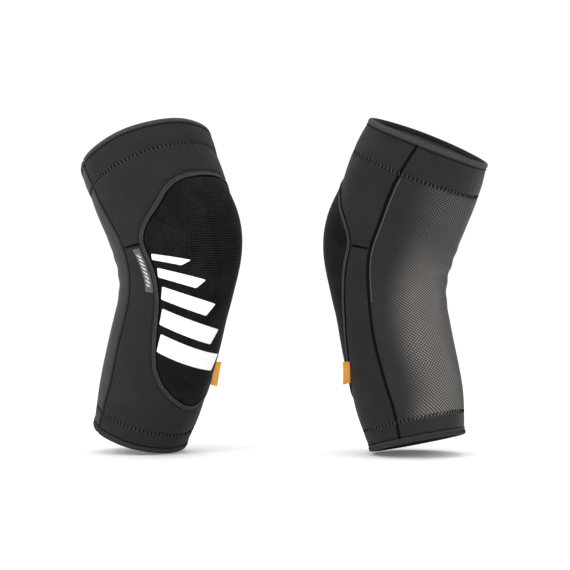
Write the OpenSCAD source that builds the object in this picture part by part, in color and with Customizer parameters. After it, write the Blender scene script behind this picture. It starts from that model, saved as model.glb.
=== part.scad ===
// A pair of pull-on knee guards: pre-bent stretch sleeves with a soft moulded pad over the knee.
// Both guards are sewn to one pattern. Seen by the wearer, the woven label is on the right of
// each knee and the small loop tag on the left. X runs along the pair, and Z is up.

/* [Sleeve] */
// Length of the sleeve's centreline, from hem to hem
sleeve_length = 280; // [260:1:300]
// Thickness of the panel fabric and of the folded mesh
fabric = 1.2; // [1:0.1:1.5]
// How far up the centreline the knee bend starts, as a share of its length
bend_start = 0.30; // [0.25:0.01:0.35]
// How far up the centreline the knee bend ends, as a share of its length
bend_end = 0.89; // [0.85:0.01:0.92]

/* [Left guard] */
// Lean of the shin's end, degrees forward
left_shin_tilt = 20.5; // [12:0.5:22]
// Lean of the thigh's end, degrees backward
left_thigh_tilt = 28; // [22:0.5:30]
// Heading of the knee's front, degrees from X
left_heading = -42.5; // [-60:0.5:-30]
// How much further its thigh opening is pulled open all round
left_thigh_flare = 5; // [0:0.5:7]
// How far its thigh opening dips at the front, on the wearer's left
left_front_dip = 9; // [0:1:10]

/* [Right guard] */
// Lean of the shin's end, degrees forward
right_shin_tilt = 13.5; // [12:0.5:22]
// Lean of the thigh's end, degrees backward
right_thigh_tilt = 25.5; // [22:0.5:30]
// Heading of the knee's front, degrees from X
right_heading = 142.5; // [130:0.5:160]
// How far its thigh end rises at the rear, on the wearer's left
right_rear_rise = 9; // [0:1:14]

/* [Pair] */
// Distance along X between the two guards' shin hems
pair_gap = 253; // [240:1:300]
// How far the right guard's shin hem stands in front of the left one's
pair_stagger = 32; // [0:1:60]

/* [Cuffs] */
// Height of the sewn thigh cuff
thigh_cuff = 31; // [25:1:40]
// Height of the sewn shin cuff
shin_cuff = 20; // [16:1:28]
// Height of the edge binding at each opening
hem_height = 5; // [4:0.5:7]
// Thickness of the inner elastic bands
elastic = 1.4; // [1:0.1:2]
// Height of one silicone grip bead
grip_bead = 3; // [2:0.5:4]
// Width of the cuffs' zigzag stitching
zigzag_width = 3.5; // [3:0.5:5]

/* [Knee] */
// Thickest part of the moulded pad
pad_thickness = 10; // [8:0.5:12]
// Most that the knee cover stands out from the sleeve
cover_bulge = 9.5; // [8:0.5:12]
// Width of the band sewn round the knee cover
binding_width = 5; // [4:0.5:6]
// Width of the seams' stitched strips
seam_width = 5; // [4:0.5:6]
// Length of the woven label
label_length = 35; // [30:1:38]
// Width of the woven label
label_width = 7.5; // [6:0.5:9]
// Length of the loop tag along the seam
tag_length = 18; // [14:1:22]
// How far the loop tag stands out
tag_reach = 8; // [6:0.5:10]

/* [Hidden] */
SIDES = ["left", "right"];
PIECES = [
    "upper_panel", "lower_panel", "rear_mesh", "knee_cover", "impact_pad", "pad_lining",
    "knee_binding", "knee_stitch", "front_print", "thigh_hem", "shin_hem", "thigh_elastic",
    "shin_elastic", "thigh_grip", "shin_grip", "thigh_stitch", "shin_stitch",
    "label_rear_seam", "tag_rear_seam", "label_side_seam", "tag_side_seam", "label", "tag"
];
NODES = [for (side = SIDES) for (piece = PIECES) str(side, "_", piece)];
node = "all";

shin_tilt = [left_shin_tilt, right_shin_tilt];
thigh_tilt = [left_thigh_tilt, right_thigh_tilt];
heading = [left_heading, right_heading];
opening_rise = [-left_front_dip, right_rear_rise];
thigh_flare = [left_thigh_flare, 0];

// Cross-sections: shares of the way up the sleeve, then half the depth and half the width there
SECTION_AT = [0, 0.14, 0.32, 0.5, 0.68, 0.86, 1];
HALF_DEPTH = [42, 51, 50.5, 51.5, 58.5, 59.5, 56.5];
HALF_WIDTH = [44.5, 44.5, 48.5, 47.5, 54, 62, 54];

// How the knee cover stands out up the middle of the front, as shares of cover_bulge
BULGE_AT = [0.172, 0.24, 0.42, 0.5, 0.6, 0.7, 0.79];
BULGE = [0, 0.17, 0.22, 0.6, 1, 0.8, 0.15];

// The knee cover's outline, from foot to head: height, and the angle round from the front to its edge
COVER_AT = [0.172, 0.19, 0.225, 0.27, 0.33, 0.4, 0.52, 0.585, 0.645, 0.69, 0.72, 0.75, 0.775, 0.79];
COVER_HALF = [4, 20, 37, 48, 54, 59, 64, 71, 77, 70, 58, 47, 38, 20];

// The moulded pad's and its pocket's feet and heads, as heights
cover_foot = COVER_AT[0];
cover_head = COVER_AT[len(COVER_AT) - 1];
pad_foot = 0.23;
pad_head = 0.745;
pocket_foot = 0.2;
pocket_head = 0.77;

// The two rear seams: height, and the angle round from the front
SEAM_AT = [0, 0.1, 0.2, 0.5, 0.62, 0.75, 0.92, 1];
SEAM_ANGLE = [104, 102, 99, 98, 99, 106, 111, 114];

// Height of the short level seams beside the knee, and of the loop tag's middle
side_seam_at = 0.64;
tag_at = 0.262;
// Space left between neighbouring pieces
gap = 0.35;
// How far the folded hems, the binding, the printed film and the stitched seams stand out
hem_proud = 0.4;
binding_proud = 0.5;
seam_proud = 0.95;
thread = 0.3;
// Thickness of the lining behind the pad, and the room that it leaves the pad
lining = 0.8;
pad_room = 1.6;
// Tops of the cuffs, and their hems, as shares of the sleeve's length
thigh_cuff_at = 1 - thigh_cuff / sleeve_length;
shin_cuff_at = shin_cuff / sleeve_length;
hem_share = hem_height / sleeve_length;
gap_share = gap / sleeve_length;
zigzag_share = zigzag_width / sleeve_length;
// Steps up the centreline, and round a full band
centre_steps = 100;
around = 36;

// ---------- the sleeve's surface ----------

function smooth(t) = let (s = min(1, max(0, t))) s * s * (3 - 2 * s);

// Index of the stretch of the list that holds x
function stretch(at, x, i = 0) = i >= len(at) - 2 || x < at[i + 1] ? i : stretch(at, x, i + 1);

function slope_at(at, value, i) =
    i == 0 ? (value[1] - value[0]) / (at[1] - at[0])
    : i == len(at) - 1 ? (value[i] - value[i - 1]) / (at[i] - at[i - 1])
    : (value[i + 1] - value[i - 1]) / (at[i + 1] - at[i - 1]);

// A smooth curve through the values, held level outside the list
function through(at, value, x) =
    x <= at[0] ? value[0]
    : x >= at[len(at) - 1] ? value[len(at) - 1]
    : let (
        i = stretch(at, x),
        h = at[i + 1] - at[i],
        t = (x - at[i]) / h,
        m0 = slope_at(at, value, i) * h,
        m1 = slope_at(at, value, i + 1) * h
    )
    (2 * t * t * t - 3 * t * t + 1) * value[i] + (t * t * t - 2 * t * t + t) * m0
    + (3 * t * t - 2 * t * t * t) * value[i + 1] + (t * t * t - t * t) * m1;

// Forward lean of the centreline at height v
function lean(g, v) =
    shin_tilt[g] - (shin_tilt[g] + thigh_tilt[g]) * smooth((v - bend_start) / (bend_end - bend_start));

// The centreline, [forward, up], summed in small steps from the shin hem
CENTRE = [
    for (g = [0, 1]) [
        for (
            i = 0, x = 0, z = 0;
            i <= centre_steps;
            a = lean(g, (i + 0.5) / centre_steps),
            x = x + sin(a) * sleeve_length / centre_steps,
            z = z + cos(a) * sleeve_length / centre_steps,
            i = i + 1
        ) [x, z]
    ]
];

function centre(g, v) =
    let (
        s = min(0.99999, max(0, v)) * centre_steps,
        i = floor(s)
    )
    CENTRE[g][i] + (CENTRE[g][i + 1] - CENTRE[g][i]) * (s - i);

// How far the cloth is pulled along the sleeve at a thigh end: the angle round where it is pulled
// most, the height where that starts, and the share of it that acts all the way round
rise_towards = [45, 122];
rise_from = [0.86, 0.62];
rise_all_round = [0.15, 0];
// Where a thigh end that is pulled open starts to widen
flare_from = 0.86;
function rise(g, u, v) =
    opening_rise[g] * mix(pow((1 + cos(u - rise_towards[g])) / 2, 1.5), 1, rise_all_round[g])
    * smooth((v - rise_from[g]) / (1 - rise_from[g]));

// A point of the sleeve: u is the angle round from the front towards the wearer's left,
// v the height from the shin hem, and out the distance outside the fabric's face
function skin(g, u, v, out = 0) =
    let (
        a = lean(g, v),
        flare = thigh_flare[g] * smooth((v - flare_from) / (1 - flare_from)),
        d = through(SECTION_AT, HALF_DEPTH, v) + flare,
        w = through(SECTION_AT, HALF_WIDTH, v) + flare,
        c = centre(g, v),
        n = [cos(u) / d, sin(u) / w] / norm([cos(u) / d, sin(u) / w]),
        f = d * cos(u) + out * n[0],
        r = rise(g, u, v)
    )
    [c[0] + f * cos(a) + r * sin(a), w * sin(u) + out * n[1], c[1] - f * sin(a) + r * cos(a)];

function cover_half(v) = through(COVER_AT, COVER_HALF, v);
function seam_angle(v) = through(SEAM_AT, SEAM_ANGLE, v);

// The angle round to the knee cover's edge at height v, drawn in by a margin
function cover_inset(v, margin) =
    let (
        rise = 0.008,
        widening = cover_half(v + rise / 2) - cover_half(v - rise / 2),
        slope = widening / degrees_for(rise * sleeve_length, v)
    )
    cover_half(v) - degrees_for(margin * norm([1, slope]), v);

// How far the knee cover stands out at (u, v)
function bulge(u, v) =
    cover_bulge * through(BULGE_AT, BULGE, v) * smooth((cover_half(v) - abs(u)) / (cover_half(v) * 0.75));

// Degrees round the sleeve that cover a length of fabric at height v
function degrees_for(length, v) = length / through(SECTION_AT, HALF_DEPTH, v) * 180 / PI;

// The outline of the knee cover moved outwards by a margin, as [u, v], from its
// foot up the wearer's left side and down the right
COVER_SIDE = [
    0.176, 0.186, 0.205, 0.235, 0.28, 0.34, 0.41, 0.48, 0.55,
    0.6, 0.64, 0.67, 0.7, 0.73, 0.76, 0.779, 0.788
];
function outline_point(side, v, margin) =
    let (
        a = [side * cover_half(v), v],
        low = v - 0.004,
        high = v + 0.004,
        per_degree = through(SECTION_AT, HALF_DEPTH, v) * PI / 180,
        run = [side * (cover_half(high) - cover_half(low)) * per_degree, (high - low) * sleeve_length],
        away = [side * run[1], -side * run[0]] / norm(run)
    )
    [a[0] + margin * away[0] / per_degree, v + margin * away[1] / sleeve_length];
function cover_outline(margin) = concat(
    [for (v = COVER_SIDE) outline_point(1, v, margin)],
    [[0, cover_head + margin / sleeve_length]],
    [for (i = [len(COVER_SIDE) - 1:-1:0]) outline_point(-1, COVER_SIDE[i], margin)],
    [[0, cover_foot - margin / sleeve_length]]
);

// ---------- building a layer of cloth ----------

// A closed layer over a grid of [u, v, out, in]: out and in are the distances of its two
// faces from the sleeve. A closed loop joins each row's ends.
module layer(g, grid, loop = false) {
    rows = len(grid);
    cols = len(grid[0]);
    count = rows * cols;
    last = loop ? cols : cols - 1;
    points = concat(
        [for (row = grid) for (p = row) skin(g, p[0], p[1], p[2])],
        [for (row = grid) for (p = row) skin(g, p[0], p[1], p[3])]
    );
    faces = [
        for (i = [0:rows - 2]) for (j = [0:last - 1])
            let (
                a = i * cols + j,
                b = i * cols + (j + 1) % cols,
                c = b + cols,
                d = a + cols
            )
            each [[a, c, b], [a, d, c], [a + count, b + count, c + count], [a + count, c + count, d + count]],
        for (j = [0:last - 1]) for (end = [0, 1])
            let (
                a = end * (rows - 1) * cols + j,
                b = end * (rows - 1) * cols + (j + 1) % cols
            )
            each end == 0
                ? [[a, b, b + count], [a, b + count, a + count]]
                : [[a, b + count, b], [a, a + count, b + count]],
        if (!loop) for (i = [0:rows - 2]) for (end = [0, 1])
            let (
                a = i * cols + end * (cols - 1),
                d = a + cols
            )
            each end == 0
                ? [[a, d + count, d], [a, a + count, d + count]]
                : [[a, d, d + count], [a, d + count, a + count]]
    ];
    polyhedron(points = points, faces = faces, convexity = 6);
}

// Rows between two lists of [u, v], with the same out and in all over
function between(first, second, steps, out, in) = [
    for (i = [0:steps]) [for (j = [0:len(first) - 1])
        concat(first[j] + (second[j] - first[j]) * i / steps, [out, in])]
];

// A level band from v = low to v = high, all the way round
function band(low, high, out, in, steps = 1) = [
    for (v = heights(low, high, steps)) [for (i = [0:around - 1]) [i * 360 / around, v, out, in]]
];

function mix(a, b, t) = a + (b - a) * t;

// Heights from low to high in even steps
function heights(low, high, steps) = [for (i = [0:steps]) mix(low, high, i / steps)];

// ---------- the outer sleeve ----------

edge = binding_width / 2 + 2 * gap;

// The upper panel's inner edge runs up one side of the knee cover, over it and down the
// other; its outer edge runs up the rear seam, round the hem and down the other rear seam
UPPER_SIDE = [0.67, 0.7, 0.73, 0.76, 0.779, 0.788];
// Angle from the front to the end of the panel's straight edge over the knee cover
head_half = 20;
function panel_edge(side, v, margin) =
    side * (seam_angle(v) - degrees_for(margin, v));

module upper_panel(g) {
    top = 1 - hem_share - gap_share;
    low = side_seam_at + 0.5 * gap_share;
    half = concat(
        [[cover_half(low) + degrees_for(edge, low), low]],
        [for (v = UPPER_SIDE) outline_point(1, v, edge)],
        [for (i = [11:-1:1]) [head_half * i / 12, cover_head + edge / sleeve_length]]
    );
    rim = concat(
        [for (v = heights(low, top, 6)) [panel_edge(1, v, gap), v]],
        [for (i = [11:-1:1]) [panel_edge(1, top, gap) * i / 12, top]]
    );
    inner = concat(
        half,
        [[0, cover_head + edge / sleeve_length]],
        [for (i = [len(half) - 1:-1:0]) [-half[i][0], half[i][1]]]
    );
    outer = concat(
        rim,
        [[0, top]],
        [for (i = [len(rim) - 1:-1:0]) [-rim[i][0], rim[i][1]]]
    );
    color("#3b3c3f") layer(g, between(outer, inner, 6, 0, -fabric));
}

// Heights of the lower panel's points down the knee cover's side, closer together towards its foot
LOWER_SIDE = [for (i = [1:17]) 0.175 + 0.455 * pow(1 - i / 17, 1.6)];
module lower_panel(g) {
    top = side_seam_at - 0.5 * gap_share;
    low = hem_share + gap_share;
    half = concat(
        [[cover_half(top) + degrees_for(edge, top), top]],
        [for (v = LOWER_SIDE) outline_point(1, v, edge)]
    );
    rim = concat(
        [for (v = heights(top, low, 8)) [panel_edge(1, v, gap), v]],
        [for (i = [9:-1:1]) [panel_edge(1, low, gap) * i / 10, low]]
    );
    inner = concat(
        half,
        [[0, cover_foot - edge / sleeve_length]],
        [for (i = [len(half) - 1:-1:0]) [-half[i][0], half[i][1]]]
    );
    outer = concat(
        rim,
        [[0, low]],
        [for (i = [len(rim) - 1:-1:0]) [-rim[i][0], rim[i][1]]]
    );
    color("#38393b") layer(g, between(inner, outer, 4, 0, -fabric));
}

module rear_mesh(g) {
    grid = [
        for (v = heights(hem_share + gap_share, 1 - hem_share - gap_share, 14)) [
            for (i = [0:12]) let (
                from = seam_angle(v) + degrees_for(gap, v),
                to = 360 - from
            ) [mix(from, to, i / 12), v, 0, -fabric]
        ]
    ];
    color("#4a4a4d") layer(g, grid);
}

// ---------- the knee ----------

// Heights of the knee's layers between its foot and its head, drawn in by a share
COVER_ROWS = [
    0, 0.02, 0.05, 0.1, 0.17, 0.26, 0.36, 0.46, 0.56, 0.64, 0.7, 0.76, 0.81, 0.86, 0.91, 0.96, 0.985, 1
];

// A layer over the cover's region, its edge drawn in by margin, with faces at out and in.
// stand_out adds the cover's bulge to the outer face.
function knee_grid(margin, out, in) =
    let (
        low = cover_foot + margin / sleeve_length,
        high = cover_head - margin / sleeve_length
    )
    [
        for (t = COVER_ROWS) let (
            v = mix(low, high, t),
            half = max(1.5, cover_inset(v, margin + gap))
        ) [
            for (i = [-5:5]) let (u = half * i / 5) [u, v, bulge(u, v) + out, bulge(u, v) * in[0] + in[1]]
        ]
    ];

module knee_cover(g) {
    color("#1e1e20") layer(g, knee_grid(edge, 0, [1, -fabric]));
}

// The moulded pad fills the cover and stands in towards the knee
module impact_pad(g) {
    beside = 14;
    share = 0.92;
    grid = [
        for (v = heights(pad_foot, pad_head, 12)) let (half = (cover_half(v) - beside) * share) [
            for (i = [-5:5]) let (
                u = half * i / 5,
                out = bulge(u, v) - fabric - 3 * gap,
                off_middle = max(abs(i) / 5, abs(2 * (v - pad_foot) / (pad_head - pad_foot) - 1)),
                crown = 0.55 + 0.45 * smooth(1.4 - 1.4 * off_middle)
            ) [u, v, out, out - pad_thickness * crown]
        ]
    ];
    color("#d8762a") layer(g, grid);
}

// The pocket behind the pad lies against the knee
module pad_lining(g) {
    grid = [
        for (t = COVER_ROWS) let (
            v = mix(pocket_foot, pocket_head, t),
            half = max(3, cover_half(v) - 8)
        ) [
            for (i = [-5:5]) let (
                u = half * i / 5,
                behind = bulge(u, v) - fabric - 3 * gap - pad_thickness - pad_room,
                face = min(-fabric - gap, behind + lining)
            ) [u, v, face, face - lining]
        ]
    ];
    color("#2c2d30") layer(g, grid);
}

module knee_binding(g) {
    half = binding_width / 2;
    grid = between(cover_outline(half), cover_outline(-half), 1, binding_proud, -fabric);
    color("#47484c") layer(g, grid, loop = true);
}

// Topstitching, two rows along the band
module knee_stitch(g) {
    color("#2a2a2c") for (at = [-1.3, 0.9]) {
        layer(g, between(cover_outline(at + 0.4), cover_outline(at), 1, 0.7 + thread, 0.7), loop = true);
    }
}

// A plain printed pattern of five slanted bars that grow longer and thicker downwards:
// height of the middle, half the thickness, and the angle where the bar ends
BARS = [
    [0.6, 0.008, -36], [0.558, 0.012, -22], [0.505, 0.017, -7], [0.442, 0.022, 8], [0.368, 0.027, 22]
];
// Rise of a bar's end per degree round
bar_slant = 0.0006;
module front_print(g) {
    color("white") for (bar = BARS) {
        from = -(cover_half(bar[0]) - 8);
        layer(g, [
            for (side = [-1, 0, 1]) [
                for (i = [0:7]) let (
                    u = mix(from, bar[2] + side * 4, i / 7),
                    v = bar[0] + side * bar[1] - bar_slant * (u - from)
                ) [u, v, bulge(u, v) + 0.85, bulge(u, v) + 0.45]
            ]
        ]);
    }
}

// ---------- cuffs ----------

module thigh_hem(g) {
    color("#4d4f53") layer(g, band(1 - hem_share, 0.9999, hem_proud, -fabric - hem_proud), loop = true);
}

module shin_hem(g) {
    color("#4d4f53") layer(g, band(0.0001, hem_share, hem_proud, -fabric - hem_proud), loop = true);
}

module thigh_elastic(g) {
    inside = -fabric - 3 * gap;
    top = 1 - hem_share - gap_share;
    color("#55565a") layer(g, band(thigh_cuff_at, top, inside, inside - elastic, steps = 3), loop = true);
}

module shin_elastic(g) {
    inside = -fabric - 3 * gap;
    foot = hem_share + gap_share;
    color("#55565a") layer(g, band(foot, shin_cuff_at, inside, inside - elastic, steps = 2), loop = true);
}

// Three silicone beads round the inside of a cuff's elastic, from height low upwards
module grip_beads(g, low) {
    inside = -fabric - elastic - 4 * gap;
    color("#9a9a9c") for (i = [0:2]) {
        from = low + i * (grip_bead + 1.4) / sleeve_length;
        layer(g, band(from, from + grip_bead / sleeve_length, inside, inside - 0.8), loop = true);
    }
}

module thigh_grip(g) {
    grip_beads(g, 1 - (thigh_cuff - 8) / sleeve_length);
}

module shin_grip(g) {
    grip_beads(g, 6.4 / sleeve_length);
}

// A cuff's zigzag stitching, in two stretches between the rear seams' strips
module cuff_stitch(g, v) {
    clear = degrees_for(seam_width / 2 + 2 * gap, v);
    seam = seam_angle(v);
    color("#232325") {
        for (reach = [[-seam + clear, seam - clear], [seam + clear, 360 - seam - clear]]) {
            layer(g, [
                for (height = [v - zigzag_share / 2, v + zigzag_share / 2]) [
                    for (i = [0:24]) [mix(reach[0], reach[1], i / 24), height, 0.8, gap + 0.1]
                ]
            ]);
        }
    }
}

module thigh_stitch(g) {
    cuff_stitch(g, thigh_cuff_at);
}

module shin_stitch(g) {
    cuff_stitch(g, shin_cuff_at);
}

// ---------- seams ----------

// The flatlock seam that joins the mesh to the front panels; side 1 is the wearer's left
module rear_seam(g, side) {
    grid = [
        for (v = heights(hem_share + 3 * gap_share, 1 - hem_share - 3 * gap_share, 22)) [
            for (i = side == 1 ? [-1, 1] : [1, -1])
                [side * (seam_angle(v) + i * degrees_for(seam_width / 2, v)), v, seam_proud, gap]
        ]
    ];
    color("#2b2c2e") layer(g, grid);
}

module label_rear_seam(g) {
    rear_seam(g, -1);
}

module tag_rear_seam(g) {
    rear_seam(g, 1);
}

// The short level seam where the two panels meet beside the knee
module side_seam(g, side) {
    v = side_seam_at;
    from = cover_half(v) + degrees_for(binding_width / 2 + 2 * gap, v);
    to = seam_angle(v) - degrees_for(seam_width / 2 + 2 * gap, v);
    rise = seam_width / 2 / sleeve_length;
    grid = [
        for (height = [v - rise, v + rise]) [
            for (i = side == 1 ? [0:3] : [3:-1:0]) [side * mix(from, to, i / 3), height, seam_proud, gap]
        ]
    ];
    color("#2b2c2e") layer(g, grid);
}

module label_side_seam(g) {
    side_seam(g, -1);
}

module tag_side_seam(g) {
    side_seam(g, 1);
}

// ---------- label and tag ----------

// The woven label lies beside the binding, on the wearer's right, below the level seam
module label(g) {
    top = side_seam_at - (seam_width / 2 + 1) / sleeve_length;
    foot = top - label_length / sleeve_length;
    beside = binding_width / 2 + 1.2;
    grid = [
        for (i = [0:6]) let (
            v = mix(foot, top, i / 6),
            near = -(cover_half(v) + degrees_for(beside, v)),
            far = near - degrees_for(label_width, v)
        ) [for (j = [0:2]) [mix(far, near, j / 2), v, 0.9, gap]]
    ];
    color("#6d6e72") layer(g, grid);
}

// The loop tag stands out from the binding's seam, on the wearer's left, low on the shin
module tag(g) {
    half = tag_length / 2 / sleeve_length;
    doubled = 1.4;
    grid = [
        for (i = [-1, 0, 1]) let (
            v = tag_at + i * half,
            u = cover_half(v) + degrees_for(binding_width / 2 + 1.2, v)
        ) [for (j = [0, 1]) [u + j * degrees_for(doubled, v), v, gap + tag_reach, gap]]
    ];
    color("#f0862a") layer(g, grid);
}

// ---------- the pair ----------

// Points of a guard's outside, turned to its heading, from which the pair's box is found
function turned(g, p) =
    [p[0] * cos(heading[g]) - p[1] * sin(heading[g]), p[0] * sin(heading[g]) + p[1] * cos(heading[g]), p[2]];
OUTSIDE = [
    for (g = [0, 1]) [
        for (u = [0:5:355]) for (v = [0.0001, 0.2, 0.45, 0.55, 0.6, 0.65, 0.7, 0.86, 0.9999])
            let (r = abs(u > 180 ? u - 360 : u))
            turned(g, skin(g, u, v, v < 0.01 || v > 0.99 ? hem_proud : r < cover_half(v) ? bulge(r, v) : 0))
    ]
];
function least(g, k) = min([for (p = OUTSIDE[g]) p[k]]);
function most(g, k) = max([for (p = OUTSIDE[g]) p[k]]);

low_x = min(least(0, 0), pair_gap + least(1, 0));
high_x = max(most(0, 0), pair_gap + most(1, 0));
low_y = min(least(0, 1), least(1, 1) - pair_stagger);
high_y = max(most(0, 1), most(1, 1) - pair_stagger);

// Each guard stands on its shin hem, with the middle of the pair's box over the origin
module place(g) {
    translate([
        g * pair_gap - (low_x + high_x) / 2,
        -g * pair_stagger - (low_y + high_y) / 2,
        -least(g, 2)
    ])
        rotate([0, 0, heading[g]]) children();
}

function shown(g, piece) = node == "all" || node == str(SIDES[g], "_", piece);

for (g = [0, 1]) place(g) {
    if (shown(g, "upper_panel")) upper_panel(g);
    if (shown(g, "lower_panel")) lower_panel(g);
    if (shown(g, "rear_mesh")) rear_mesh(g);
    if (shown(g, "knee_cover")) knee_cover(g);
    if (shown(g, "impact_pad")) impact_pad(g);
    if (shown(g, "pad_lining")) pad_lining(g);
    if (shown(g, "knee_binding")) knee_binding(g);
    if (shown(g, "knee_stitch")) knee_stitch(g);
    if (shown(g, "front_print")) front_print(g);
    if (shown(g, "thigh_hem")) thigh_hem(g);
    if (shown(g, "shin_hem")) shin_hem(g);
    if (shown(g, "thigh_elastic")) thigh_elastic(g);
    if (shown(g, "shin_elastic")) shin_elastic(g);
    if (shown(g, "thigh_grip")) thigh_grip(g);
    if (shown(g, "shin_grip")) shin_grip(g);
    if (shown(g, "thigh_stitch")) thigh_stitch(g);
    if (shown(g, "shin_stitch")) shin_stitch(g);
    if (shown(g, "label_rear_seam")) label_rear_seam(g);
    if (shown(g, "tag_rear_seam")) tag_rear_seam(g);
    if (shown(g, "label_side_seam")) label_side_seam(g);
    if (shown(g, "tag_side_seam")) tag_side_seam(g);
    if (shown(g, "label")) label(g);
    if (shown(g, "tag")) tag(g);
}
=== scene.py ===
"""A pair of pull-on knee guards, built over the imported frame."""
import math

import bmesh
import bpy
import numpy as np
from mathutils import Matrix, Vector


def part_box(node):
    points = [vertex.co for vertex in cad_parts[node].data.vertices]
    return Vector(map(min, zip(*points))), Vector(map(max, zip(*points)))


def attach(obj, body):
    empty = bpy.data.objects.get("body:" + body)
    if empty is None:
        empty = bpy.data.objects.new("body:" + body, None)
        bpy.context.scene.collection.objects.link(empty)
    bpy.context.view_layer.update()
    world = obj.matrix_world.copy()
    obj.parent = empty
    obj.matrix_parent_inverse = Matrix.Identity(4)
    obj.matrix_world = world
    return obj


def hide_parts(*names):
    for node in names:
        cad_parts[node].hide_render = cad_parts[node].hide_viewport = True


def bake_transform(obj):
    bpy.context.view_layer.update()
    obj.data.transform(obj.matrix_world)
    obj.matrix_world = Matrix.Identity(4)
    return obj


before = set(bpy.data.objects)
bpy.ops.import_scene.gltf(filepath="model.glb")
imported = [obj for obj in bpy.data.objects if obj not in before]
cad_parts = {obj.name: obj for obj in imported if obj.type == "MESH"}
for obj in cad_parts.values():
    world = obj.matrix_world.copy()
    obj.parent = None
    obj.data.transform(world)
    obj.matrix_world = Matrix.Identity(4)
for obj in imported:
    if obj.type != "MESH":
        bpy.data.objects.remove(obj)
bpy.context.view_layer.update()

# ---------- the sleeve's surface, as in the CAD source, in millimetres ----------

LENGTH = 280.0
FABRIC = 1.2
BEND = (0.30, 0.89)
THIGH_CUFF = 1 - 31 / LENGTH
SHIN_CUFF = 20 / LENGTH
HEM = 5 / LENGTH
# the hems stop just short of the sleeve's ends, and the cloth reaches 0.3 mm into them
HEM_EDGE = 0.0001
PANEL_TOP = 1 - HEM + 0.3 / LENGTH
PANEL_FOOT = HEM - 0.3 / LENGTH
SIDE_SEAM = 0.64
SIDE_GAP = 0.0006
# the knee cover stands out this far over the pad, and swells a little inside its binding
COVER_BULGE = 9.5
COVER_SWELL = 0.4
# gaps between a panel and the middle of the seam that it is sewn into
SEAM_MARGIN = 0.35
COVER_MARGIN = 1.0
# the cover's rings end on a line up its middle, between these heights
SPINE = (0.27, 0.70)
# the share of the pad's and the lining's half size from which their rims curve
RIM_FROM = 0.86
# the height from which the thigh opening is pulled wider
FLARE_FROM = 0.86
# the loop tag's height and the woven label's size
TAG_AT = 0.262
LABEL_SIZE = (7.5, 35)
# tilts and heading in degrees; flare widens the thigh opening; rise pulls the cloth along the
# sleeve there: how far, the angle where most, the height where it starts, and the share all round
GUARDS = [
    {"side": "left", "shin": 20.5, "thigh": 28.0, "heading": -42.5,
     "flare": 5.0, "rise": (-9.0, 45, 0.86, 0.15)},
    {"side": "right", "shin": 13.5, "thigh": 25.5, "heading": 142.5,
     "flare": 0.0, "rise": (9.0, 122, 0.62, 0.0)},
]
SECTION_AT = [0, 0.14, 0.32, 0.5, 0.68, 0.86, 1]
HALF_DEPTH = [42, 51, 50.5, 51.5, 58.5, 59.5, 56.5]
HALF_WIDTH = [44.5, 44.5, 48.5, 47.5, 54, 62, 54]
BULGE_AT = [0.172, 0.24, 0.42, 0.5, 0.6, 0.7, 0.79]
BULGE = [0, 0.17, 0.22, 0.6, 1, 0.8, 0.15]
COVER_AT = [0.172, 0.19, 0.225, 0.27, 0.33, 0.4, 0.52, 0.585, 0.645, 0.69, 0.72, 0.75, 0.775, 0.79]
COVER_HALF = [4, 20, 37, 48, 54, 59, 64, 71, 77, 70, 58, 47, 38, 20]
COVER_SIDE = [0.176, 0.186, 0.205, 0.235, 0.28, 0.34, 0.41, 0.48, 0.55,
              0.6, 0.64, 0.67, 0.7, 0.73, 0.76, 0.779, 0.788]
SEAM_AT = [0, 0.1, 0.2, 0.5, 0.62, 0.75, 0.92, 1]
SEAM_ANGLE = [104, 102, 99, 98, 99, 106, 111, 114]


def smooth(t):
    t = np.clip(t, 0, 1)
    return t * t * (3 - 2 * t)


def through(at, value, x):
    at, value, x = np.array(at, float), np.array(value, float), np.asarray(x, float)
    slope = np.gradient(value, at)
    slope[1:-1] = (value[2:] - value[:-2]) / (at[2:] - at[:-2])
    i = np.clip(np.searchsorted(at, x, side="right") - 1, 0, len(at) - 2)
    h = at[i + 1] - at[i]
    t = np.clip((x - at[i]) / h, 0, 1)
    return ((2 * t**3 - 3 * t**2 + 1) * value[i] + (t**3 - 2 * t**2 + t) * slope[i] * h
            + (3 * t**2 - 2 * t**3) * value[i + 1] + (t**3 - t**2) * slope[i + 1] * h)


def lean(guard, v):
    part = smooth((np.asarray(v, float) - BEND[0]) / (BEND[1] - BEND[0]))
    return np.radians(guard["shin"] - (guard["shin"] + guard["thigh"]) * part)


def cover_half(v):
    return through(COVER_AT, COVER_HALF, v)


def seam_angle(v):
    return through(SEAM_AT, SEAM_ANGLE, v)


def metric(v):
    """Millimetres round the sleeve for one degree, at height v."""
    return through(SECTION_AT, HALF_DEPTH, v) * math.pi / 180


def centreline(guard):
    mid = (np.arange(1000) + 0.5) / 1000
    step = LENGTH / 1000
    a = lean(guard, mid)
    return np.concatenate([[[0, 0]], np.cumsum(np.stack([np.sin(a), np.cos(a)], 1) * step, 0)])


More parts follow.
